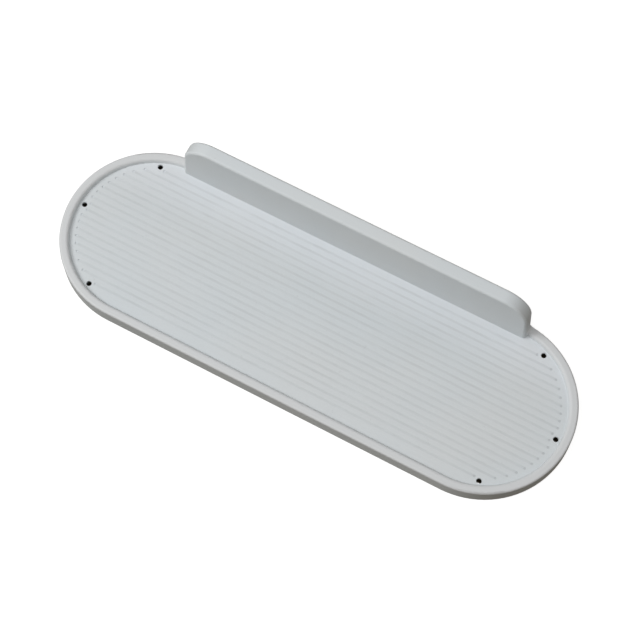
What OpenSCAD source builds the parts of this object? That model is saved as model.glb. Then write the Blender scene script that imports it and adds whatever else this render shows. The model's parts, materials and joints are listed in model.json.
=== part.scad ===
// Pill-shaped diving board with a raised rim, a grooved deck and a fence along
// one long edge. Six bolt holes, three on each rounded end, fix it down.
// X runs along the board, the fence stands on the +Y edge, Z is up, and Z = 0
// is the plane that the board rests on.

/* [Board] */
// Overall length
board_l = 600; // [480:5:760]
// Overall width, which is also the diameter of the rounded ends
board_w = 200; // [165:5:250]
// Height of the skirt, from its lower edge to the top of the rim
skirt_h = 23.2; // [19:0.2:30]
// Depth of the deck below the top of the rim
deck_drop = 5.5; // [4:0.1:7]
// Thickness of the deck skin
skin_t = 3; // [2.4:0.1:3.6]
// Thickness of the skirt wall
skirt_t = 3.5; // [3.2:0.1:4.5]

/* [Rim] */
// Distance from the outline to where the rim starts to round down to the deck
rim_w = 6.2; // [5:0.1:8]
// Radius of the rim's inner edge
rim_lip_r = 4; // [3:0.1:5]
// Steepness of the wall at the foot of that edge
rim_wall_angle = 75; // [60:1:80]
// Radius that blends the wall into the deck
rim_cove_r = 0.8; // [0.4:0.1:2]
// Radius of the rim's outer edge
skirt_top_r = 2.5; // [1.5:0.1:4]
// Radius of the skirt's lower edge
skirt_foot_r = 0.5; // [0.3:0.1:1.2]

/* [Grooves] */
// Spacing of the anti-slip grooves
groove_pitch = 7.9; // [6.5:0.1:10]
// Width of a groove
groove_w = 2.4; // [1.6:0.1:3]
// Depth of a groove
groove_d = 0.35; // [0.2:0.05:0.8]
// Diameter of the round pit that ends each groove
pit_d = 2.8; // [2.4:0.1:3.6]
// Depth of that pit
pit_depth = 0.7; // [0.4:0.1:1.2]
// Distance from the outline to the line where the grooves end
groove_edge = 18; // [16:0.5:24]
// Least distance between a groove's end and the centre of a bolt hole
groove_clear = 7; // [6:0.5:10]
// Least distance between the outermost groove and the line where grooves end
groove_margin = 6; // [4:0.5:9]

/* [Bolt holes] */
// Diameter of the six bolt holes
bolt_hole_d = 6; // [4:0.1:7]
// Distance from the outline to a bolt hole's centre
bolt_edge = 15.5; // [14:0.5:19]
// Angle from the long axis to the two side holes of an end
bolt_angle = 66.6; // [58:0.2:70]
// Outside diameter of the sleeve that lines each bolt hole
sleeve_d = 10; // [9:0.5:12]

/* [Base] */
// Thickness of the base pan
pan_t = 3; // [2.6:0.1:3.6]
// Wall left beside the base pan's edge
pan_rebate_t = 2; // [1.6:0.1:2.4]
// Thickness of the gasket on the base pan
gasket_t = 1.5; // [1:0.1:2]
// Thickness of the rubber end pads
pad_t = 2; // [1.6:0.1:2.6]
// How far the pads stand below the skirt
pad_proud = 0.8; // [0.4:0.1:1]
// Length of an end pad, from its straight edge to its tip
pad_l = 75; // [65:1:85]
// Distance from the outline to the pads' round edge
pad_edge = 10; // [8:0.5:11]
// Distance from the outline to the base pan's screws
pan_screw_edge = 22; // [21:0.5:24]
// Angle from the long axis to the screws on the ends
pan_screw_angle = 33; // [28:1:38]
// Distance from the middle of the board to the side screws beside it
pan_screw_pitch = 120; // [60:5:130]
// Diameter of a screw boss
pan_boss_d = 9; // [8:0.5:10]
// Diameter of a base pan screw
pan_screw_d = 3.6; // [3:0.1:4]
// Length of a base pan screw below its head
pan_screw_l = 10; // [7:0.5:11]
// Diameter of a base pan screw's head
pan_head_d = 7.4; // [6.6:0.2:8]
// Height of a base pan screw's head
pan_head_h = 1.8; // [1.4:0.1:2]
// Length of an arm of the cross recess in that head, from tip to tip
pan_recess_l = 4; // [3:0.1:5]
// Width of an arm
pan_recess_w = 1; // [0.7:0.1:1.3]
// Depth of the cross recess
pan_recess_depth = 1; // [0.7:0.1:1.3]

/* [Core] */
// Width of a lengthwise stringer tube
stringer_w = 16; // [12:1:20]
// Wall of a stringer tube
stringer_t = 1.5; // [1:0.1:2.2]
// Distance between the middles of neighbouring stringers
stringer_pitch = 56; // [40:1:56]

/* [Fence] */
// Height of the fence above the deck
fence_h = 71; // [58:1:90]
// Thickness of the fence
fence_t = 15.6; // [14:0.1:19]
// How far the fence runs past each end of the straight edge
fence_overrun = 7.5; // [0:0.5:9]
// Lean of the fence's end faces
fence_draft = 4; // [0:0.5:5]
// Radius of the fence's top corners
fence_corner_r = 31; // [15:1:38]
// Wall of the hollow fence
fence_wall = 2.8; // [2.2:0.1:3.2]
// Distance of the fence's back face inside the outline
fence_setback = 0.2; // [0.2:0.1:1]
// Height of the screw bosses inside the fence
fence_boss_h = 26; // [18:1:30]
// Width of those bosses along the fence
fence_boss_w = 12; // [9:0.5:16]
// Number of screws that hold the fence
fence_screws_n = 4; // [3:1:6]
// Distance from the fence's end to its first screw
fence_screw_inset = 35; // [25:1:45]
// Distance from the outline to the fence's screws
fence_screw_edge = 8.5; // [8.2:0.1:9.5]
// Thread diameter of the fence's screws
fence_screw_d = 4; // [3:0.1:4.5]
// Length of a fence screw below its head
fence_screw_l = 18; // [14:0.5:20]
// Diameter of a fence screw's head
fence_head_d = 7; // [6:0.1:7.6]
// Height of a fence screw's head
fence_head_h = 3; // [2.4:0.1:3.2]
// Width of the hexagon socket in a fence screw's head, across its corners
fence_socket_d = 2.9; // [2.3:0.1:3.4]
// Depth of that socket
fence_socket_depth = 2; // [1.4:0.1:2.4]
// Outside diameter of a fence washer
washer_d = 9; // [8:0.1:9]
// Thickness of a fence washer
washer_t = 1; // [0.6:0.1:1.2]
// Outside diameter of a brass insert in the fence
insert_d = 6; // [5.5:0.1:7]
// Length of a brass insert
insert_l = 12; // [9:0.5:14]
// Thickness of the backing plate under the fence
backing_t = 3; // [2:0.1:3.4]
// Width of the backing plate
backing_w = 11; // [10:0.5:11.5]
// Distance from the fence's end to the backing plate's end
backing_inset = 15; // [10:1:25]

/* [Drain] */
// Distance from the middle of the board to the drain plug, along the board
drain_x = 60; // [40:1:60]
// Diameter of the drain plug's flange
drain_flange_d = 12; // [11:0.5:13]
// Diameter of the drain plug's stem
drain_stem_d = 7; // [6:0.5:8]
// Length of the barb that holds the plug in
drain_barb_l = 2.5; // [2:0.1:3.5]
// How far the barb stands out from the stem
drain_barb_w = 0.6; // [0.4:0.1:1]
// Width of the slot in the plug's flange
drain_slot_w = 1.2; // [0.8:0.1:1.6]
// Depth of that slot
drain_slot_depth = 0.6; // [0.4:0.1:0.8]
// Thickness of the seal under the flange
drain_seal_t = 0.3; // [0.2:0.05:0.5]

/* [Hidden] */
$fn = 72;

shell_colour = [0.80, 0.82, 0.83];
pan_colour = [0.62, 0.65, 0.67];
rubber_colour = [0.12, 0.12, 0.13];
metal_colour = [0.75, 0.76, 0.78];
brass_colour = [0.80, 0.65, 0.35];
foam_colour = [0.93, 0.90, 0.78];
block_colour = [0.88, 0.88, 0.85];

// Clearance between pieces that slip together
slip = 0.3;
// Clearance around a screw, a thread or a press-in piece
close_fit = 0.05;
// Clearance between a screw's shank and the hole it passes through
shank_fit = 0.3;
// Clearance between a screw's head and the hole in an end pad
head_fit = 1;
// How far heads and flanges sit inside their recesses
head_sink = 0.2;
// Spare depth of a tapped hole beyond its screw's tip
tap_spare = 1;
// Overshoot that keeps cuts clean
cut = 1;

// The outline: two half circles joined by a straight stretch
end_r = board_w / 2;
half_straight = (board_l - board_w) / 2;

// Heights, from the resting plane up
skirt_z = pad_proud;
rim_z = skirt_z + skirt_h;
deck_z = rim_z - deck_drop;
skin_z = deck_z - skin_t;
pan_z = skirt_z + pan_t;
core_h = skin_z - pan_z;

// The rim
rim_r = end_r - rim_w;
lip_fall = rim_lip_r * (1 - cos(rim_wall_angle));
cove_rise = rim_cove_r * (1 - cos(rim_wall_angle));
wall_run = (deck_drop - lip_fall - cove_rise) / tan(rim_wall_angle);
foot_r = rim_r - (rim_lip_r + rim_cove_r) * sin(rim_wall_angle) - wall_run;
arc_steps = 10;

// The bolt holes, sleeves and what surrounds them
bolt_r = end_r - bolt_edge;
bolt_spread = [bolt_angle, 0, -bolt_angle];
sleeve_hole_d = sleeve_d + 2 * close_fit;

// The base
cavity_r = end_r - skirt_t;
rebate_r = end_r - pan_rebate_t;
pan_r = rebate_r - slip;
pan_screw_r = end_r - pan_screw_edge;
pad_r = end_r - pad_edge;
pad_pocket = pad_t - pad_proud;
pad_x = board_l / 2 - pad_edge - pad_l;
head_relief_h = pan_head_h + head_sink;
tapped_depth = pan_screw_l - pan_t + head_relief_h + tap_spare;

// The core
block_x = half_straight + fence_overrun + slip;
block_r = cavity_r - slip;
stringer_l = 2 * (block_x - slip);
foam_w = stringer_pitch - stringer_w - 2 * slip;

// The fence
fence_half_l = half_straight + fence_overrun;
fence_back_y = end_r - fence_setback;
fence_front_y = fence_back_y - fence_t;
fence_screw_y = end_r - fence_screw_edge;
fence_screw_span = 2 * (fence_half_l - fence_screw_inset);
fence_screw_step = fence_screw_span / (fence_screws_n - 1);
corner_z = fence_h - fence_corner_r;
corner_x = fence_half_l - corner_z * tan(fence_draft) - fence_corner_r / cos(fence_draft);
backing_l = 2 * (fence_half_l - backing_inset);
backing_y = cavity_r - slip - backing_w / 2;

// The grooves
groove_r = end_r - groove_edge;
groove_rows = floor((groove_r - groove_margin) / groove_pitch + 0.5);

// The drain plug sits between the front skirt and the front stringer
drain_y = -(end_r - pan_screw_edge);
drain_recess_h = pan_t / 2;
drain_flange_h = drain_recess_h - head_sink - drain_seal_t;
drain_barb_z = pan_t - head_sink + slip;

// Centre of a bolt hole: side is -1 or 1, angle is measured from the long axis
function bolt_at(side, angle) =
    [side * (half_straight + bolt_r * cos(angle)), bolt_r * sin(angle)];

// How far along the board a groove at distance y from the middle runs
function groove_reach(y) = min(
    half_straight + sqrt(groove_r * groove_r - y * y),
    groove_stop(y, bolt_at(1, 0)),
    groove_stop(y, bolt_at(1, bolt_angle))
);
function groove_stop(y, hole) =
    let (off = abs(y) - hole[1])
    abs(off) >= groove_clear
        ? board_l
        : hole[0] - sqrt(groove_clear * groove_clear - off * off);

// Points along an arc, from angle a0 to angle a1
function arc(centre, r, a0, a1) = [
    for (i = [0:arc_steps])
        let (a = a0 + (a1 - a0) * i / arc_steps)
        centre + r * [cos(a), sin(a)]
];

// ---- shapes that several pieces share ----

// A flat plate with the board's outline, r from its centre line
module oval(r, h) {
    for (side = [-1, 1])
        translate([side * half_straight, 0, 0])
            cylinder(r = r, h = h);
    translate([-half_straight, -r, 0])
        cube([2 * half_straight, 2 * r, h]);
}

// Carries a half profile (distance from the centre line, height) round the outline
module round_outline() {
    for (side = [-1, 1])
        translate([side * half_straight, 0, 0])
            rotate_extrude()
                children();
    rotate([90, 0, 90])
        linear_extrude(2 * half_straight, center = true) {
            children();
            mirror([1, 0]) children();
        }
}

// The rounded end of a plate: everything of it beyond x on one side
module end_plate(side, r, h, x) {
    intersection() {
        oval(r, h);
        mirror([side < 0 ? 1 : 0, 0, 0])
            translate([x, -end_r, 0])
                cube([board_l, 2 * end_r, h]);
    }
}

// Places a shape at each bolt hole of one side
module at_bolts(side) {
    for (angle = bolt_spread)
        translate(bolt_at(side, angle))
            children();
}

// Places a shape at the two base pan screws on one rounded end
module at_end_screws(side) {
    for (across = [-1, 1])
        translate([
            side * (half_straight + pan_screw_r * cos(pan_screw_angle)),
            across * pan_screw_r * sin(pan_screw_angle)
        ])
            children();
}

// Places a shape at every base pan screw
module at_pan_screws() {
    for (side = [-1, 1])
        at_end_screws(side) children();
    for (across = [-1, 1], along = [-1, 0, 1])
        translate([along * pan_screw_pitch, across * pan_screw_r])
            children();
}

// Places a shape at every fence screw
module at_fence_screws() {
    for (i = [0:fence_screws_n - 1])
        translate([i * fence_screw_step - fence_screw_span / 2, fence_screw_y])
            children();
}

// ---- deck shell ----

// Half profile of the skirt and rim, with rounded outer edges
module skirt_profile() {
    translate([0, skirt_z])
        square([end_r - skirt_top_r, skirt_h]);
    translate([0, skirt_z])
        square([end_r - skirt_foot_r, skirt_h - skirt_top_r]);
    translate([0, skirt_z + skirt_foot_r])
        square([end_r, skirt_h - skirt_foot_r - skirt_top_r]);
    translate([end_r - skirt_foot_r, skirt_z + skirt_foot_r])
        circle(r = skirt_foot_r);
    translate([end_r - skirt_top_r, rim_z - skirt_top_r])
        circle(r = skirt_top_r);
}

// Half profile of the space above the deck
module recess_profile() {
    polygon(concat(
        [[0, deck_z]],
        arc([foot_r, deck_z + rim_cove_r], rim_cove_r, -90, rim_wall_angle - 90),
        arc([rim_r, rim_z - rim_lip_r], rim_lip_r, 90 + rim_wall_angle, 90),
        [[rim_r, rim_z + cut], [0, rim_z + cut]]
    ));
}

// Anti-slip grooves, each with a round pit at both ends
module grooves() {
    for (row = [0:groove_rows - 1], across = [-1, 1]) {
        y = across * (row + 0.5) * groove_pitch;
        reach = groove_reach(y);
        translate([-reach, y - groove_w / 2, deck_z - groove_d])
            cube([2 * reach, groove_w, groove_d + cut]);
        for (end = [-1, 1])
            translate([end * reach, y, deck_z - pit_depth])
                cylinder(d = pit_d, h = pit_depth + cut, $fn = 24);
    }
}

module deck_shell() {
    color(shell_colour)
        difference() {
            union() {
                difference() {
                    round_outline() skirt_profile();
                    round_outline() recess_profile();
                    translate([0, 0, pan_z + gasket_t])
                        oval(cavity_r, skin_z - pan_z - gasket_t);
                    oval(rebate_r, pan_z + gasket_t);
                }
                at_pan_screws()
                    translate([0, 0, pan_z])
                        cylinder(d = pan_boss_d, h = core_h);
            }
            // seat of the fence
            translate([-fence_half_l - close_fit, fence_front_y, deck_z])
                cube([2 * (fence_half_l + close_fit), end_r, skirt_h]);
            grooves();
            for (side = [-1, 1])
                at_bolts(side)
                    cylinder(d = bolt_hole_d, h = 2 * rim_z);
            at_pan_screws()
                translate([0, 0, pan_z - cut])
                    cylinder(d = pan_screw_d + 2 * close_fit, h = tapped_depth + cut);
            at_fence_screws()
                cylinder(d = fence_screw_d + shank_fit, h = rim_z + cut);
        }
}

// ---- base ----

module base_pan() {
    color(pan_colour)
        difference() {
            translate([0, 0, skirt_z])
                oval(pan_r, pan_t);
            for (side = [-1, 1]) {
                translate([0, 0, skirt_z - cut])
                    end_plate(side, pad_r + slip, pad_pocket + cut, pad_x - slip);
                at_bolts(side)
                    cylinder(d = bolt_hole_d, h = rim_z);
            }
            at_pan_screws() {
                cylinder(d = pan_screw_d + shank_fit, h = rim_z);
                cylinder(d = pan_head_d + slip, h = skirt_z + head_relief_h);
            }
            translate([drain_x, drain_y, 0]) {
                cylinder(d = drain_stem_d + shank_fit, h = rim_z);
                cylinder(d = drain_flange_d + slip, h = skirt_z + drain_recess_h);
            }
        }
}

module perimeter_gasket() {
    color(rubber_colour)
        translate([0, 0, pan_z])
            difference() {
                oval(pan_r, gasket_t);
                translate([0, 0, -cut])
                    oval(cavity_r, gasket_t + 2 * cut);
            }
}

// Rubber pad that the bolted end rests on
module end_pad(side) {
    color(rubber_colour)
        difference() {
            end_plate(side, pad_r, pad_t, pad_x);
            at_bolts(side)
                translate([0, 0, -cut])
                    cylinder(d = bolt_hole_d, h = pad_t + 2 * cut);
            at_end_screws(side)
                translate([0, 0, -cut])
                    cylinder(d = pan_head_d + 2 * head_fit, h = pad_t + 2 * cut);
        }
}

module pan_screws() {
    color(metal_colour)
        at_pan_screws()
            translate([0, 0, skirt_z + head_relief_h - pan_head_h])
                difference() {
                    union() {
                        cylinder(d = pan_head_d, h = pan_head_h);
                        cylinder(d = pan_screw_d, h = pan_head_h + pan_screw_l);
                    }
                    // cross recess
                    for (turn = [0, 90])
                        rotate(turn)
                            translate([-pan_recess_l / 2, -pan_recess_w / 2, -cut])
                                cube([pan_recess_l, pan_recess_w, pan_recess_depth + cut]);
                }
}

module drain_plug() {
    color(rubber_colour)
        translate([drain_x, drain_y, skirt_z + head_sink])
            difference() {
                union() {
                    cylinder(d = drain_flange_d, h = drain_flange_h);
                    cylinder(d = drain_stem_d, h = drain_barb_z + drain_barb_l);
                    translate([0, 0, drain_barb_z])
                        cylinder(
                            d1 = drain_stem_d + 2 * drain_barb_w,
                            d2 = drain_stem_d,
                            h = drain_barb_l
                        );
                }
                translate([-drain_stem_d / 2, -drain_slot_w / 2, -cut])
                    cube([drain_stem_d, drain_slot_w, drain_slot_depth + cut]);
            }
}

// Flat ring between the plug's flange and the base pan
module drain_seal() {
    color(rubber_colour)
        translate([drain_x, drain_y, skirt_z + head_sink + drain_flange_h])
            difference() {
                cylinder(d = drain_flange_d - 2 * slip, h = drain_seal_t);
                translate([0, 0, -cut])
                    cylinder(d = drain_stem_d + 2 * close_fit, h = drain_seal_t + 2 * cut);
            }
}

// ---- core ----

// Solid block that spreads the bolt load in a rounded end
module end_block(side) {
    color(block_colour)
        translate([0, 0, pan_z])
            difference() {
                end_plate(side, block_r, core_h, block_x);
                at_bolts(side)
                    translate([0, 0, -cut])
                        cylinder(d = sleeve_hole_d, h = core_h + 2 * cut);
                at_end_screws(side)
                    translate([0, 0, -cut])
                        cylinder(d = pan_boss_d + 2 * slip, h = core_h + 2 * cut);
            }
}

// Metal sleeve that keeps a bolt from crushing the board
module bolt_sleeve(side, angle) {
    color(metal_colour)
        translate([bolt_at(side, angle)[0], bolt_at(side, angle)[1], pan_z])
            difference() {
                cylinder(d = sleeve_d, h = core_h);
                translate([0, 0, -cut])
                    cylinder(d = bolt_hole_d, h = core_h + 2 * cut);
            }
}

// Lengthwise rectangular tube, y from the centre line
module stringer(y) {
    color(metal_colour)
        translate([-stringer_l / 2, y - stringer_w / 2, pan_z])
            difference() {
                cube([stringer_l, stringer_w, core_h]);
                translate([-cut, stringer_t, stringer_t])
                    cube([
                        stringer_l + 2 * cut,
                        stringer_w - 2 * stringer_t,
                        core_h - 2 * stringer_t
                    ]);
            }
}

// Foam slab between two stringers, its middle at y
module foam_core(y) {
    color(foam_colour)
        translate([-stringer_l / 2, y - foam_w / 2, pan_z])
            cube([stringer_l, foam_w, core_h]);
}

// ---- fence ----

// Outline of the fence seen from the front, moved inwards by inset
module fence_outline(inset) {
    half_l = fence_half_l - inset / cos(fence_draft);
    r = fence_corner_r - inset;
    side_x = corner_x + r * cos(fence_draft);
    side_z = corner_z + r * sin(fence_draft);
    polygon([
        [-half_l, 0], [half_l, 0], [side_x, side_z], [corner_x, corner_z + r],
        [-corner_x, corner_z + r], [-side_x, side_z]
    ]);
    for (side = [-1, 1])
        translate([side * corner_x, corner_z])
            circle(r = r);
}

// Stands the fence's outline up, with its front face at y
module fence_slab(inset, y, t) {
    translate([0, y + t, 0])
        rotate([90, 0, 0])
            linear_extrude(t)
                fence_outline(inset);
}

module fence_shell() {
    color(shell_colour)
        difference() {
            translate([0, fence_front_y, deck_z])
                fence_slab(0, 0, fence_t);
            // hollow, with the screw bosses left standing
            difference() {
                translate([0, fence_front_y + fence_wall, deck_z])
                    fence_slab(fence_wall, 0, fence_t - 2 * fence_wall);
                at_fence_screws()
                    translate([-fence_boss_w / 2, -fence_t, deck_z - 2 * cut])
                        cube([fence_boss_w, 2 * fence_t, fence_boss_h + 2 * cut]);
            }
            at_fence_screws()
                translate([0, 0, deck_z - cut])
                    cylinder(d = insert_d + 2 * close_fit, h = fence_screw_l + cut);
        }
}

module fence_foam_core() {
    core_inset = fence_wall + slip;
    color(foam_colour)
        translate([0, fence_front_y + core_inset, deck_z])
            intersection() {
                fence_slab(core_inset, 0, fence_t - 2 * core_inset);
                translate([-board_l, -cut, fence_boss_h])
                    cube([2 * board_l, 2 * fence_t, fence_h]);
            }
}

// Plate under the deck skin that the fence's screws pull against
module fence_backing_plate() {
    color(metal_colour)
        difference() {
            translate([-backing_l / 2, backing_y - backing_w / 2, skin_z - backing_t])
                cube([backing_l, backing_w, backing_t]);
            at_fence_screws()
                cylinder(d = fence_screw_d + shank_fit, h = rim_z);
        }
}

module fence_inserts() {
    color(brass_colour)
        at_fence_screws()
            translate([0, 0, deck_z])
                difference() {
                    cylinder(d = insert_d, h = insert_l);
                    translate([0, 0, -cut])
                        cylinder(d = fence_screw_d + 2 * close_fit, h = insert_l + 2 * cut);
                }
}

module fence_screws() {
    head_z = skin_z - backing_t - washer_t - fence_head_h;
    color(metal_colour)
        at_fence_screws()
            translate([0, 0, head_z])
                difference() {
                    union() {
                        cylinder(d = fence_head_d, h = fence_head_h);
                        cylinder(d = fence_screw_d, h = fence_head_h + fence_screw_l);
                    }
                    // hexagon socket
                    translate([0, 0, -cut])
                        cylinder(d = fence_socket_d, h = fence_socket_depth + cut, $fn = 6);
                }
}

module fence_washers() {
    color(metal_colour)
        at_fence_screws()
            translate([0, 0, skin_z - backing_t - washer_t])
                difference() {
                    cylinder(d = washer_d, h = washer_t);
                    translate([0, 0, -cut])
                        cylinder(d = fence_screw_d + shank_fit, h = washer_t + 2 * cut);
                }
}

deck_shell();
base_pan();
perimeter_gasket();
end_block(-1);  // left_end_block
end_block(1);  // right_end_block
bolt_sleeve(-1, bolt_angle);  // left_rear_sleeve
bolt_sleeve(-1, 0);  // left_tip_sleeve
bolt_sleeve(-1, -bolt_angle);  // left_front_sleeve
bolt_sleeve(1, bolt_angle);  // right_rear_sleeve
bolt_sleeve(1, 0);  // right_tip_sleeve
bolt_sleeve(1, -bolt_angle);  // right_front_sleeve
stringer(-stringer_pitch);  // front_stringer
stringer(0);  // centre_stringer
stringer(stringer_pitch);  // rear_stringer
foam_core(-stringer_pitch / 2);  // front_foam_core
foam_core(stringer_pitch / 2);  // rear_foam_core
pan_screws();
fence_shell();
fence_foam_core();
fence_backing_plate();
fence_inserts();
fence_screws();
fence_washers();
end_pad(-1);  // left_end_pad
end_pad(1);  // right_end_pad
drain_plug();
drain_seal();
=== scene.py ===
"""Looks of a pill-shaped, grooved board with a raised rim and a fence along one long edge."""

import json
import math

import bmesh
import bpy
from mathutils import Matrix, Vector


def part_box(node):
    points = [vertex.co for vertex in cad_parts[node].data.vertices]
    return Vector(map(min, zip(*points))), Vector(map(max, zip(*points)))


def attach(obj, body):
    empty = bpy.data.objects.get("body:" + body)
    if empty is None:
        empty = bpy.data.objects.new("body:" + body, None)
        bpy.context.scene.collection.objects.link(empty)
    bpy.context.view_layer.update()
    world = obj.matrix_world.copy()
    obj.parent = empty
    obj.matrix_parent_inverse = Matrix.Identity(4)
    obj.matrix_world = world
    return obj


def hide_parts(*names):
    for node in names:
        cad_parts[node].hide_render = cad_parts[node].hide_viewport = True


MM = 0.001
TINY = 1e-6

bpy.ops.wm.read_factory_settings(use_empty=True)
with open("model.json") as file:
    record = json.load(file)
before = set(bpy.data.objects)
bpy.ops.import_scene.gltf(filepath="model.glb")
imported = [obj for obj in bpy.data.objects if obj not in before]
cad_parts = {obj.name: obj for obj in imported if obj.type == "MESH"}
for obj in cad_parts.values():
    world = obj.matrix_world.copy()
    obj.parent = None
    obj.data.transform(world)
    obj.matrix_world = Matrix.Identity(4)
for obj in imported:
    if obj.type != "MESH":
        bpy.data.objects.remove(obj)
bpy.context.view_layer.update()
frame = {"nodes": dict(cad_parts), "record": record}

DECK_HIGH = Vector(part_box("deck_shell")[1])
FENCE_LOW, FENCE_HIGH = (Vector(corner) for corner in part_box("fence_shell"))

END_R = DECK_HIGH.y
HALF_STRAIGHT = DECK_HIGH.x - END_R
RIM_Z = DECK_HIGH.z
DECK_Z = FENCE_LOW.z

FENCE_OVERRUN = 7.5 * MM
FENCE_CORNER_R = 31 * MM
FENCE_DRAFT = math.radians(4)
FENCE_EDGE_R = 3 * MM
FENCE_WALL = 2.8 * MM
FENCE_CORNER_STEPS = 20
FENCE_EDGE_STEPS = 5

# The rim's section: where it starts to round down, its edge, the foot of its wall and the wall's slope
RIM_W = 6.2 * MM
LIP_R = 4 * MM
COVE_R = 0.8 * MM
WALL_ANGLE = math.radians(75)

# The blends at the fence's ends: how deep they root in the fence and in the deck
BLEND_ROOT = 0.3 * MM
BLEND_SEAT = 0.05 * MM
BLEND_STEPS = 10

# Folds past the first angle stay crisp; those past the second are the fence's outer edges
CREASE = math.radians(32)
SIDE_EDGE = math.radians(60)

FLOOR_HALF = 6


# ---- node helpers ----

class Nodes:
    """A node tree with short ways to add and join nodes."""

    def __init__(self, tree):
        self.tree = tree

    def add(self, kind, inputs=None, **settings):
        node = self.tree.nodes.new(kind)
        for name, value in settings.items():
            setattr(node, name, value)
        for name, value in (inputs or {}).items():
            self.feed(node.inputs[name], value)
        return node

    def feed(self, socket, value):
        if isinstance(value, bpy.types.NodeSocket):
            self.tree.links.new(value, socket)
        else:
            socket.default_value = value

    def math(self, operation, a, b=0.0, clamp=False):
        node = self.add("ShaderNodeMath", {0: a, 1: b}, operation=operation, use_clamp=clamp)
        return node.outputs[0]

    def noise(self, vector, scale, detail=2.0, roughness=0.5):
        node = self.add(
            "ShaderNodeTexNoise",
            {"Vector": vector, "Scale": scale, "Detail": detail, "Roughness": roughness},
        )
        return node.outputs["Fac"]

    def stretch(self, vector, scale):
        node = self.add("ShaderNodeMapping", {"Vector": vector, "Scale": scale})
        return node.outputs["Vector"]

    def ramp(self, value, low, high, out_low=0.0, out_high=1.0):
        node = self.add(
            "ShaderNodeMapRange",
            {"Value": value, "From Min": low, "From Max": high, "To Min": out_low, "To Max": out_high},
        )
        return node.outputs["Result"]

    def mix(self, factor, a, b):
        node = self.add("ShaderNodeMix", data_type="RGBA")
        self.feed(node.inputs[0], factor)
        self.feed(node.inputs[6], a)
        self.feed(node.inputs[7], b)
        return node.outputs[2]


def new_group(name, inputs, outputs):
    """A shader node group with float or vector sockets; returns it with its nodes and sockets."""
    tree = bpy.data.node_groups.new(name, "ShaderNodeTree")
    for socket, kind, value in inputs:
        made = tree.interface.new_socket(socket, in_out="INPUT", socket_type=kind)
        if value is not None:
            made.default_value = value
    for socket, kind in outputs:
        tree.interface.new_socket(socket, in_out="OUTPUT", socket_type=kind)
    nodes = Nodes(tree)
    return tree, nodes, nodes.add("NodeGroupInput").outputs, nodes.add("NodeGroupOutput").inputs


# ---- effects that several materials share ----

def mould_grain_group():
    """Fine spark-eroded texture that a steel mould leaves on plastic, as a height."""
    tree, n, given, out = new_group(
        "mould_grain",
        [("Vector", "NodeSocketVector", None), ("Pitch", "NodeSocketFloat", 1400.0)],
        [("Height", "NodeSocketFloat"), ("Speckle", "NodeSocketFloat")],
    )
    fine = n.noise(given["Vector"], given["Pitch"], detail=3.0, roughness=0.6)
    coarse = n.noise(given["Vector"], n.math("MULTIPLY", given["Pitch"], 0.3))
    cells = n.add(
        "ShaderNodeTexVoronoi",
        {"Vector": given["Vector"], "Scale": n.math("MULTIPLY", given["Pitch"], 0.8)},
        feature="F1",
    ).outputs["Distance"]
    height = n.math("ADD", n.math("MULTIPLY", fine, 0.5), n.math("MULTIPLY", coarse, 0.3))
    n.feed(out["Height"], n.math("SUBTRACT", height, n.math("MULTIPLY", cells, 0.2)))
    n.feed(out["Speckle"], n.ramp(fine, 0.35, 0.65))
    return tree


def handling_group():
    """Broad tone drift, lengthwise scuffs and small marks from use, as masks."""
    tree, n, given, out = new_group(
        "handling",
        [("Vector", "NodeSocketVector", None)],
        [("Drift", "NodeSocketFloat"), ("Scuff", "NodeSocketFloat"), ("Mark", "NodeSocketFloat")],
    )
    drift = n.noise(given["Vector"], 7.0, detail=3.0, roughness=0.55)
    n.feed(out["Drift"], n.ramp(drift, 0.3, 0.7))
    lengthwise = n.stretch(given["Vector"], (0.12, 1.0, 1.0))
    scuff = n.noise(lengthwise, 420.0, detail=4.0, roughness=0.7)
    patch = n.ramp(n.noise(given["Vector"], 16.0), 0.5, 0.68)
    n.feed(out["Scuff"], n.math("MULTIPLY", n.ramp(scuff, 0.58, 0.72), patch))
    spots = n.noise(given["Vector"], 190.0)
    n.feed(out["Mark"], n.ramp(spots, 0.71, 0.77))
    return tree


def stipple_group():
    """Low bumps of a moulded non-slip surface, in short rows along the board."""
    tree, n, given, out = new_group(
        "stipple",
        [("Vector", "NodeSocketVector", None)],
        [("Height", "NodeSocketFloat"), ("Tone", "NodeSocketFloat")],
    )
    rows = n.stretch(given["Vector"], (0.45, 1.0, 1.0))
    bumps = n.add(
        "ShaderNodeTexVoronoi", {"Vector": rows, "Scale": 620.0, "Randomness": 0.75}, feature="F1"
    ).outputs["Distance"]
    long_rows = n.stretch(given["Vector"], (0.06, 1.0, 1.0))
    streak = n.noise(long_rows, 330.0, detail=3.0, roughness=0.65)
    n.feed(out["Height"], n.ramp(bumps, 0.1, 0.6, 1.0, 0.0))
    between = n.math("MULTIPLY", n.ramp(bumps, 0.2, 0.65), 0.5)
    n.feed(out["Tone"], n.math("ADD", between, n.ramp(streak, 0.35, 0.7, 0, 0.5)))
    return tree


GRAIN = mould_grain_group()
HANDLING = handling_group()
STIPPLE = stipple_group()


def new_material(name):
    material = bpy.data.materials.new(name)
    material.use_nodes = True
    material.node_tree.nodes.clear()
    nodes = Nodes(material.node_tree)
    shader = nodes.add("ShaderNodeBsdfPrincipled")
    output = nodes.add("ShaderNodeOutputMaterial")
    nodes.feed(output.inputs["Surface"], shader.outputs["BSDF"])
    return material, nodes, shader


def place_group(nodes, tree, inputs):
    node = nodes.add("ShaderNodeGroup", node_tree=tree)
    for name, value in inputs.items():
        nodes.feed(node.inputs[name], value)
    return node.outputs


def object_place(nodes):
    return nodes.add("ShaderNodeTexCoord").outputs["Object"]


# ---- materials ----

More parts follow.
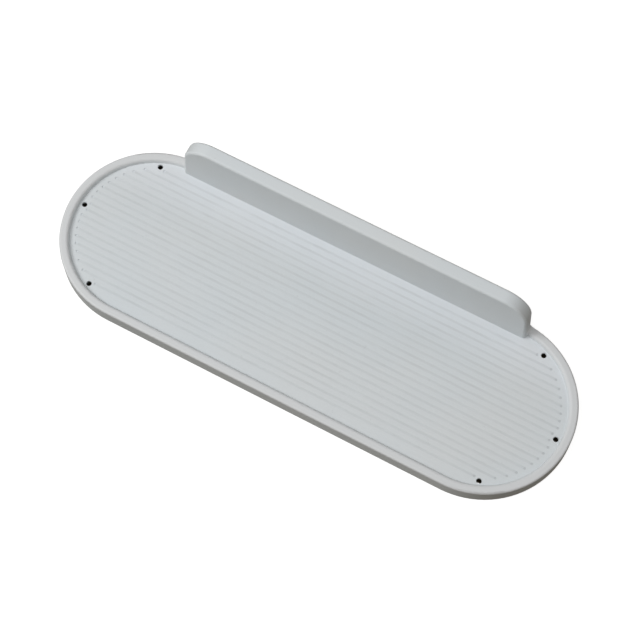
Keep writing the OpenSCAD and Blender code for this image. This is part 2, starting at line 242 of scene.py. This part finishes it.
SHELL = (0.618, 0.664, 0.692, 1)
SHELL_WARM = (0.636, 0.668, 0.684, 1)
SHELL_SCUFF = (0.72, 0.73, 0.735, 1)
# Painted bounce light: a pale tone laid on the deck beside the fence, standing in for light thrown back
# from the fence.
PAINTED_BOUNCE_LIGHT = (0.70, 0.735, 0.775, 1)
# A slightly darker, greyer tone for the rim and the parts of the shell higher than the deck.
SHELL_RIM_TONE = (0.616, 0.630, 0.642, 1)
# Dark grey for small marks on the shell and the pan, mould speckle, the stipple's low tone, the groove
# floors and the pits.
DARK_GREY = (0.36, 0.375, 0.38, 1)
PAN, PAN_WORN = (0.40, 0.425, 0.44, 1), (0.44, 0.46, 0.47, 1)
RUBBER, RUBBER_FADED = (0.018, 0.018, 0.019, 1), (0.035, 0.034, 0.033, 1)
RUBBER_DUST = (0.08, 0.078, 0.075, 1)
FOAM, FOAM_CELL = (0.86, 0.82, 0.66, 1), (0.74, 0.69, 0.53, 1)
BLOCK, BLOCK_SAWN = (0.82, 0.82, 0.79, 1), (0.74, 0.74, 0.71, 1)
SLEEVE, SLEEVE_DULL = (0.05, 0.05, 0.052, 1), (0.02, 0.02, 0.021, 1)
ALUMINIUM, ALUMINIUM_DULL = (0.75, 0.76, 0.78, 1), (0.58, 0.59, 0.61, 1)
STEEL, STEEL_DULL = (0.62, 0.62, 0.63, 1), (0.45, 0.45, 0.46, 1)
BRASS, BRASS_DULL = (0.76, 0.58, 0.28, 1), (0.6, 0.44, 0.2, 1)


def moulded_shell(name):
    """Pale blue-grey moulded plastic, for the fence."""
    material, n, shader = new_material(name)
    place = object_place(n)
    colour, rough, height = shell_surface(n, place)
    finish_shell(n, shader, colour, rough, height)
    return material


def deck_plastic(name):
    """The same plastic: stippled deck, a paler tone beside the fence as painted bounce light, darker
    groove floors and pits, a greyer tone on the rim.
    """
    material, n, shader = new_material(name)
    place = object_place(n)
    colour, rough, height = shell_surface(n, place)
    along, across, level = n.add("ShaderNodeSeparateXYZ", {"Vector": place}).outputs[:]

    stipple = place_group(n, STIPPLE, {"Vector": place})
    on_deck = layer(n, level, -0.1, -0.05, 0.1, 0.3)
    tone = n.math("MULTIPLY", stipple["Tone"], on_deck)
    bumps = n.math("MULTIPLY", stipple["Height"], on_deck)
    colour = n.mix(n.math("MULTIPLY", tone, 0.085), colour, DARK_GREY)

    # Painted bounce light: the deck turns paler towards the fence, from none 50 mm before it to full 15 mm
    # before it, on the deck's level only.
    painted_bounce_mask = n.ramp(across, FENCE_LOW.y - 50 * MM, FENCE_LOW.y - 15 * MM, 0.0, 0.55)
    under_rim = n.ramp(level, DECK_Z + 0.3 * MM, DECK_Z + 0.1 * MM)
    colour = n.mix(n.math("MULTIPLY", painted_bounce_mask, under_rim), colour, PAINTED_BOUNCE_LIGHT)

    # Darker tone on the grooves' floors and in the pits, the pits more so towards the right-hand end.
    colour = n.mix(groove_darkening(n, place, level), colour, DARK_GREY)
    colour = n.mix(pit_darkening(n, along, level), colour, DARK_GREY)
    # A slightly darker, greyer tone on the shell, from none 1.5 mm above the deck to full 1 mm under the
    # rim's top.
    rim_tone = n.math("MULTIPLY", n.ramp(level, DECK_Z + 1.5 * MM, RIM_Z - 1 * MM), 0.8)
    colour = n.mix(rim_tone, colour, SHELL_RIM_TONE)

    rough = n.math("ADD", rough, n.math("MULTIPLY", tone, 0.05))
    height = n.math("ADD", height, n.math("MULTIPLY", bumps, 0.5))
    finish_shell(n, shader, colour, rough, height)
    return material


def shell_surface(n, place):
    """Colour, roughness and grain height of the moulded plastic."""
    grain = place_group(n, GRAIN, {"Vector": place, "Pitch": 1500.0})
    use = place_group(n, HANDLING, {"Vector": place})
    colour = n.mix(use["Drift"], SHELL, SHELL_WARM)
    colour = n.mix(n.math("MULTIPLY", use["Scuff"], 0.35), colour, SHELL_SCUFF)
    colour = n.mix(n.math("MULTIPLY", use["Mark"], 0.18), colour, DARK_GREY)
    colour = n.mix(n.math("MULTIPLY", grain["Speckle"], 0.05), colour, DARK_GREY)
    rough = n.ramp(use["Drift"], 0.0, 1.0, 0.50, 0.58)
    rough = n.math("ADD", rough, n.math("MULTIPLY", use["Scuff"], 0.08))
    rough = n.math("ADD", rough, n.math("MULTIPLY", grain["Speckle"], 0.04))
    return colour, rough, grain["Height"]


def finish_shell(n, shader, colour, rough, height):
    """Feeds a moulded surface to its shader."""
    bump = n.add("ShaderNodeBump", {"Height": height, "Strength": 0.22, "Distance": 0.12 * MM})
    n.feed(shader.inputs["Base Color"], colour)
    n.feed(shader.inputs["Roughness"], rough)
    n.feed(shader.inputs["Normal"], bump.outputs["Normal"])
    shader.inputs["IOR"].default_value = 1.46
    shader.inputs["Specular IOR Level"].default_value = 0.35


def layer(n, level, start, full, fade, end):
    """Mask of a layer of heights, in mm from the deck, with a soft bottom and top."""
    bottom = n.ramp(level, DECK_Z + start * MM, DECK_Z + full * MM)
    top = n.ramp(level, DECK_Z + end * MM, DECK_Z + fade * MM)
    return n.math("MULTIPLY", bottom, top)


def groove_darkening(n, place, level):
    """Mask of the grooves' floors, patchy along the board."""
    lengthwise = n.stretch(place, (0.35, 1.0, 1.0))
    patches = n.noise(lengthwise, 55.0, detail=3.0, roughness=0.6)
    amount = n.ramp(patches, 0.35, 0.68, 0.10, 0.26)
    return n.math("MULTIPLY", layer(n, level, -0.5, -0.4, -0.25, -0.05), amount)


def pit_darkening(n, along, level):
    """Mask of the pits that end the grooves, stronger towards the right-hand end."""
    amount = n.ramp(along, -HALF_STRAIGHT, HALF_STRAIGHT, 0.0, 0.4)
    return n.math("MULTIPLY", layer(n, level, -0.8, -0.75, -0.5, -0.42), amount)


def textured_pan(name):
    """Grey moulded plastic with a coarse grain, for the underside."""
    material, n, shader = new_material(name)
    place = object_place(n)
    grain = place_group(n, GRAIN, {"Vector": place, "Pitch": 700.0})
    use = place_group(n, HANDLING, {"Vector": place})
    colour = n.mix(use["Drift"], PAN, PAN_WORN)
    colour = n.mix(n.math("MULTIPLY", use["Mark"], 0.3), colour, DARK_GREY)
    n.feed(shader.inputs["Base Color"], colour)
    n.feed(shader.inputs["Roughness"], n.ramp(grain["Speckle"], 0.0, 1.0, 0.6, 0.72))
    bump = n.add("ShaderNodeBump", {"Height": grain["Height"], "Strength": 0.5, "Distance": 0.3 * MM})
    n.feed(shader.inputs["Normal"], bump.outputs["Normal"])
    return material


def black_rubber(name):
    """Rubber with a dusty film."""
    material, n, shader = new_material(name)
    place = object_place(n)
    grain = place_group(n, GRAIN, {"Vector": place, "Pitch": 900.0})
    use = place_group(n, HANDLING, {"Vector": place})
    colour = n.mix(use["Drift"], RUBBER, RUBBER_FADED)
    n.feed(shader.inputs["Base Color"], n.mix(use["Scuff"], colour, RUBBER_DUST))
    n.feed(shader.inputs["Roughness"], n.ramp(grain["Speckle"], 0.0, 1.0, 0.72, 0.86))
    bump = n.add("ShaderNodeBump", {"Height": grain["Height"], "Strength": 0.45, "Distance": 0.25 * MM})
    n.feed(shader.inputs["Normal"], bump.outputs["Normal"])
    return material


def metal(name, colour, dull, low, high, lay):
    """Bare metal, with its least and most roughness; lay stretches its machining lines."""
    material, n, shader = new_material(name)
    place = object_place(n)
    lines = n.noise(n.stretch(place, lay), 900.0, detail=4.0, roughness=0.7)
    use = place_group(n, HANDLING, {"Vector": place})
    tone = n.mix(n.ramp(lines, 0.3, 0.7), colour, dull)
    n.feed(shader.inputs["Base Color"], n.mix(n.math("MULTIPLY", use["Drift"], 0.3), tone, dull))
    n.feed(shader.inputs["Roughness"], n.ramp(lines, 0.3, 0.7, low, high))
    bump = n.add("ShaderNodeBump", {"Height": lines, "Strength": 0.25, "Distance": 0.05 * MM})
    n.feed(shader.inputs["Normal"], bump.outputs["Normal"])
    shader.inputs["Metallic"].default_value = 1.0
    return material


def cell_foam(name):
    """Cream closed-cell foam."""
    material, n, shader = new_material(name)
    place = object_place(n)
    cells = n.add(
        "ShaderNodeTexVoronoi", {"Vector": place, "Scale": 900.0}, feature="SMOOTH_F1"
    ).outputs["Distance"]
    colour = n.mix(n.ramp(cells, 0.1, 0.7), FOAM, FOAM_CELL)
    n.feed(shader.inputs["Base Color"], colour)
    n.feed(shader.inputs["Roughness"], n.ramp(cells, 0.1, 0.7, 0.8, 0.95))
    bump = n.add("ShaderNodeBump", {"Height": cells, "Strength": 0.6, "Distance": 0.4 * MM})
    n.feed(shader.inputs["Normal"], bump.outputs["Normal"])
    return material


def white_block(name):
    """Natural white plastic with saw marks across it."""
    material, n, shader = new_material(name)
    place = object_place(n)
    saw = n.noise(n.stretch(place, (1.0, 0.03, 1.0)), 700.0, detail=3.0, roughness=0.6)
    colour = n.mix(n.ramp(saw, 0.3, 0.7), BLOCK, BLOCK_SAWN)
    n.feed(shader.inputs["Base Color"], colour)
    n.feed(shader.inputs["Roughness"], n.ramp(saw, 0.3, 0.7, 0.45, 0.6))
    bump = n.add("ShaderNodeBump", {"Height": saw, "Strength": 0.3, "Distance": 0.1 * MM})
    n.feed(shader.inputs["Normal"], bump.outputs["Normal"])
    return material


MATERIALS = {
    "shell": deck_plastic("shell_plastic"),
    "fence": moulded_shell("fence_plastic"),
    "pan": textured_pan("pan_plastic"),
    "rubber": black_rubber("black_rubber"),
    "block": white_block("white_block"),
    "sleeve": metal("black_sleeve", SLEEVE, SLEEVE_DULL, 0.45, 0.6, (1, 1, 8)),
    "extrusion": metal("mill_aluminium", ALUMINIUM, ALUMINIUM_DULL, 0.3, 0.5, (0.03, 1, 1)),
    "foam": cell_foam("cell_foam"),
    "steel": metal("stainless_steel", STEEL, STEEL_DULL, 0.2, 0.4, (1, 1, 6)),
    "brass": metal("turned_brass", BRASS, BRASS_DULL, 0.25, 0.4, (1, 1, 8)),
}

SLOT_OF = {part["node"]: part["material_slot"] for part in frame["record"]["subparts"]}
for node_name, node_object in frame["nodes"].items():
    for socket in node_object.material_slots:
        socket.material = MATERIALS[SLOT_OF[node_name]]


# ---- pieces ----

def finish_piece(name, bm, material):
    """Turns a bmesh into a piece of the board with smooth curves and crisp corners."""
    mesh = bpy.data.meshes.new(name)
    bm.to_mesh(mesh)
    bm.free()
    mesh.shade_smooth()
    mesh.set_sharp_from_angle(angle=CREASE)
    piece = bpy.data.objects.new(name, mesh)
    bpy.context.scene.collection.objects.link(piece)
    mesh.materials.append(material)
    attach(piece, "root")
    return piece


def fence():
    """Hollow fence with rounded top corners, leaning ends and soft edges."""
    bm = bmesh.new()
    lean = (FENCE_HIGH.z - FENCE_LOW.z) * math.tan(FENCE_DRAFT)
    front = bm.faces.new([
        bm.verts.new((FENCE_LOW.x, FENCE_LOW.y, FENCE_LOW.z)),
        bm.verts.new((FENCE_HIGH.x, FENCE_LOW.y, FENCE_LOW.z)),
        bm.verts.new((FENCE_HIGH.x - lean, FENCE_LOW.y, FENCE_HIGH.z)),
        bm.verts.new((FENCE_LOW.x + lean, FENCE_LOW.y, FENCE_HIGH.z)),
    ])
    corner_run = FENCE_CORNER_R * math.tan(math.radians(45) - FENCE_DRAFT / 2)
    tops = [v for v in front.verts if v.co.z > DECK_Z + FENCE_CORNER_R]
    bmesh.ops.bevel(
        bm, geom=tops, offset=corner_run, offset_type="OFFSET", segments=FENCE_CORNER_STEPS,
        profile=0.5, affect="VERTICES", material=-1,
    )
    made = bmesh.ops.extrude_face_region(bm, geom=bm.faces[:], use_keep_orig=True)
    moved = [v for v in made["geom"] if isinstance(v, bmesh.types.BMVert)]
    bmesh.ops.translate(bm, vec=(0, FENCE_HIGH.y - FENCE_LOW.y, 0), verts=moved)
    bmesh.ops.recalc_face_normals(bm, faces=bm.faces[:])
    foot = [f for f in bm.faces if all(v.co.z < FENCE_LOW.z + TINY for v in f.verts)]
    bmesh.ops.delete(bm, geom=foot, context="FACES_ONLY")
    side_edges = [
        e for e in bm.edges
        if abs(e.verts[0].co.y - e.verts[1].co.y) < TINY
        and not e.is_boundary
        and e.calc_face_angle(0) > SIDE_EDGE
    ]
    bmesh.ops.bevel(
        bm, geom=side_edges, offset=FENCE_EDGE_R, offset_type="OFFSET", segments=FENCE_EDGE_STEPS,
        profile=0.5, affect="EDGES", material=-1, clamp_overlap=True,
    )
    piece = finish_piece("fence_wall", bm, MATERIALS["fence"])
    shell = piece.modifiers.new("wall", "SOLIDIFY")
    shell.thickness = FENCE_WALL
    shell.offset = -1
    weighted = piece.modifiers.new("weighted", "WEIGHTED_NORMAL")
    weighted.keep_sharp = True
    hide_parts("fence_shell")


def blend_path():
    """Stations from the rim's top down to the deck: place across, height, tilt and size."""
    rim_run = (LIP_R + COVE_R) * math.sin(WALL_ANGLE)
    rim_fall = (LIP_R + COVE_R) * (1 - math.cos(WALL_ANGLE))
    wall_run = (RIM_Z - DECK_Z - rim_fall) / math.tan(WALL_ANGLE)
    foot_y = math.sqrt((END_R - RIM_W - rim_run - wall_run) ** 2 - FENCE_OVERRUN ** 2)
    lip_y = math.sqrt((END_R - RIM_W) ** 2 - FENCE_OVERRUN ** 2)
    return [
        (END_R - 1.2 * MM, RIM_Z, 0, 4.6 * MM),
        (lip_y, RIM_Z, 0, 4.2 * MM),
        (lip_y - 0.45 * LIP_R, RIM_Z - 0.11 * LIP_R, 27, 3.6 * MM),
        (lip_y - 0.80 * LIP_R, RIM_Z - 0.40 * LIP_R, 50, 2.8 * MM),
        (foot_y + 0.9 * MM, DECK_Z + 1.6 * MM, 60, 2.0 * MM),
        (foot_y - 0.8 * MM, DECK_Z, 25, 1.5 * MM),
        (FENCE_LOW.y + FENCE_EDGE_R, DECK_Z, 0, 1.1 * MM),
    ]


def hollow_profile(bm):
    """Hollow quarter-round, one unit out along X and up along Z, closed at its corner."""
    low = bm.verts.new((1, 0, 0))
    made = bmesh.ops.spin(
        bm, geom=[low], cent=(1, 0, 1), axis=(0, 1, 0), angle=math.radians(90), steps=BLEND_STEPS,
    )
    high = made["geom_last"][0]
    corner = bm.verts.new((0, 0, 0))
    bm.edges.new((high, corner))
    bm.edges.new((corner, low))
    return bm.verts[:] + bm.edges[:]


def end_blend(side):
    """Concave blend where an end of the fence runs into the rim and down to the deck."""
    face_x = HALF_STRAIGHT + FENCE_OVERRUN - BLEND_ROOT
    bm = bmesh.new()
    profile = hollow_profile(bm)
    rings = []
    for y, z, tilt, size in blend_path():
        turn = math.radians(tilt)
        ring = bmesh.ops.duplicate(bm, geom=profile)["geom"]
        place = Matrix((
            (side * size, 0, -side * size * math.tan(FENCE_DRAFT), side * face_x),
            (0, size, -size * math.sin(turn), y),
            (0, 0, size * math.cos(turn), z - BLEND_SEAT),
            (0, 0, 0, 1),
        ))
        bmesh.ops.transform(bm, matrix=place, verts=[v for v in ring if isinstance(v, bmesh.types.BMVert)])
        rings.append([e for e in ring if isinstance(e, bmesh.types.BMEdge)])
    bmesh.ops.delete(bm, geom=[v for v in profile if isinstance(v, bmesh.types.BMVert)], context="VERTS")
    for first, second in zip(rings, rings[1:]):
        bmesh.ops.bridge_loops(bm, edges=first + second)
    for ring in (rings[0], rings[-1]):
        bmesh.ops.edgeloop_fill(bm, edges=ring)
    bmesh.ops.recalc_face_normals(bm, faces=bm.faces[:])
    finish_piece("left_end_blend" if side < 0 else "right_end_blend", bm, MATERIALS["shell"])


fence()
end_blend(-1)
end_blend(1)


# ---- stage, light and camera ----

def studio_floor():
    """Plain, pale floor, clear when it is seen from below."""
    bm = bmesh.new()
    bmesh.ops.create_grid(bm, x_segments=1, y_segments=1, size=FLOOR_HALF)
    mesh = bpy.data.meshes.new("studio_floor")
    bm.to_mesh(mesh)
    bm.free()
    floor = bpy.data.objects.new("studio_floor", mesh)
    bpy.context.scene.collection.objects.link(floor)
    material = bpy.data.materials.new("studio_white")
    material.use_nodes = True
    material.node_tree.nodes.clear()
    n = Nodes(material.node_tree)
    paper = n.add("ShaderNodeBsdfDiffuse", {"Color": (0.25, 0.25, 0.25, 1)})
    glow = n.add("ShaderNodeEmission", {"Color": (1, 1, 1, 1), "Strength": 0.9})
    both = n.add("ShaderNodeAddShader", {0: paper.outputs[0], 1: glow.outputs[0]})
    clear = n.add("ShaderNodeBsdfTransparent")
    from_below = n.add("ShaderNodeNewGeometry").outputs["Backfacing"]
    seen = n.add("ShaderNodeMixShader", {0: from_below, 1: both.outputs[0], 2: clear.outputs[0]})
    output = n.add("ShaderNodeOutputMaterial")
    n.feed(output.inputs["Surface"], seen.outputs[0])
    mesh.materials.append(material)
    floor.visible_diffuse = False
    floor.visible_glossy = False


def sky(zenith, horizon, ground):
    """Soft surrounding light, brightest straight above and dim near the floor."""
    world = bpy.data.worlds.new("studio")
    bpy.context.scene.world = world
    world.use_nodes = True
    world.node_tree.nodes.clear()
    n = Nodes(world.node_tree)
    way = n.add("ShaderNodeSeparateXYZ", {"Vector": n.add("ShaderNodeTexCoord").outputs["Generated"]})
    above = n.mix(n.ramp(way.outputs["Z"], 0.0, 1.0), horizon, zenith)
    tone = n.mix(n.ramp(way.outputs["Z"], -0.08, 0.04), ground, above)
    background = n.add("ShaderNodeBackground", {"Color": tone, "Strength": 1.0})
    output = n.add("ShaderNodeOutputWorld")
    n.feed(output.inputs["Surface"], background.outputs[0])


def soft_light(name, azimuth, elevation, distance, size, watts):
    """A square soft box that faces the middle of the board; azimuth turns from +X to +Y."""
    light = bpy.data.lights.new(name, "AREA")
    light.energy = watts
    light.size = size
    lamp = bpy.data.objects.new(name, light)
    bpy.context.scene.collection.objects.link(lamp)
    turn, rise = math.radians(azimuth), math.radians(elevation)
    away = Vector((math.cos(turn) * math.cos(rise), math.sin(turn) * math.cos(rise), math.sin(rise)))
    lamp.location = away * distance
    lamp.rotation_euler = away.to_track_quat("Z", "Y").to_euler()


# The azimuth turns the camera from straight in front towards the right-hand end
CAMERA_AZIMUTH = math.radians(27.94)
CAMERA_ELEVATION = math.radians(70.04)
CAMERA_DISTANCE = 1.980
CAMERA_LENS = 104.4
CAMERA_SENSOR = 36
CAMERA_AIM = Vector((5.3 * MM, 1.8 * MM, DECK_Z))


def camera():
    """Long lens from above the right end of the front edge."""
    data = bpy.data.cameras.new("camera")
    data.sensor_width = CAMERA_SENSOR
    data.lens = CAMERA_LENS
    eye = bpy.data.objects.new("camera", data)
    bpy.context.scene.collection.objects.link(eye)
    flat = math.cos(CAMERA_ELEVATION)
    back = Vector((
        math.sin(CAMERA_AZIMUTH) * flat,
        -math.cos(CAMERA_AZIMUTH) * flat,
        math.sin(CAMERA_ELEVATION),
    ))
    eye.location = CAMERA_AIM + back * CAMERA_DISTANCE
    eye.rotation_euler = back.to_track_quat("Z", "Y").to_euler()
    bpy.context.scene.camera = eye


studio_floor()
sky(
    zenith=(0.46, 0.46, 0.46, 1),
    horizon=(0.222, 0.186, 0.145, 1),
    ground=(0.080, 0.059, 0.030, 1),
)
soft_light("key_light", azimuth=210, elevation=44, distance=3.5, size=1.4, watts=59)
soft_light("top_light", azimuth=250, elevation=70, distance=3.0, size=1.5, watts=19.5)
soft_light("fill_light", azimuth=40, elevation=30, distance=3.0, size=1.2, watts=4)
camera()
bpy.context.scene.view_settings.view_transform = "Standard"
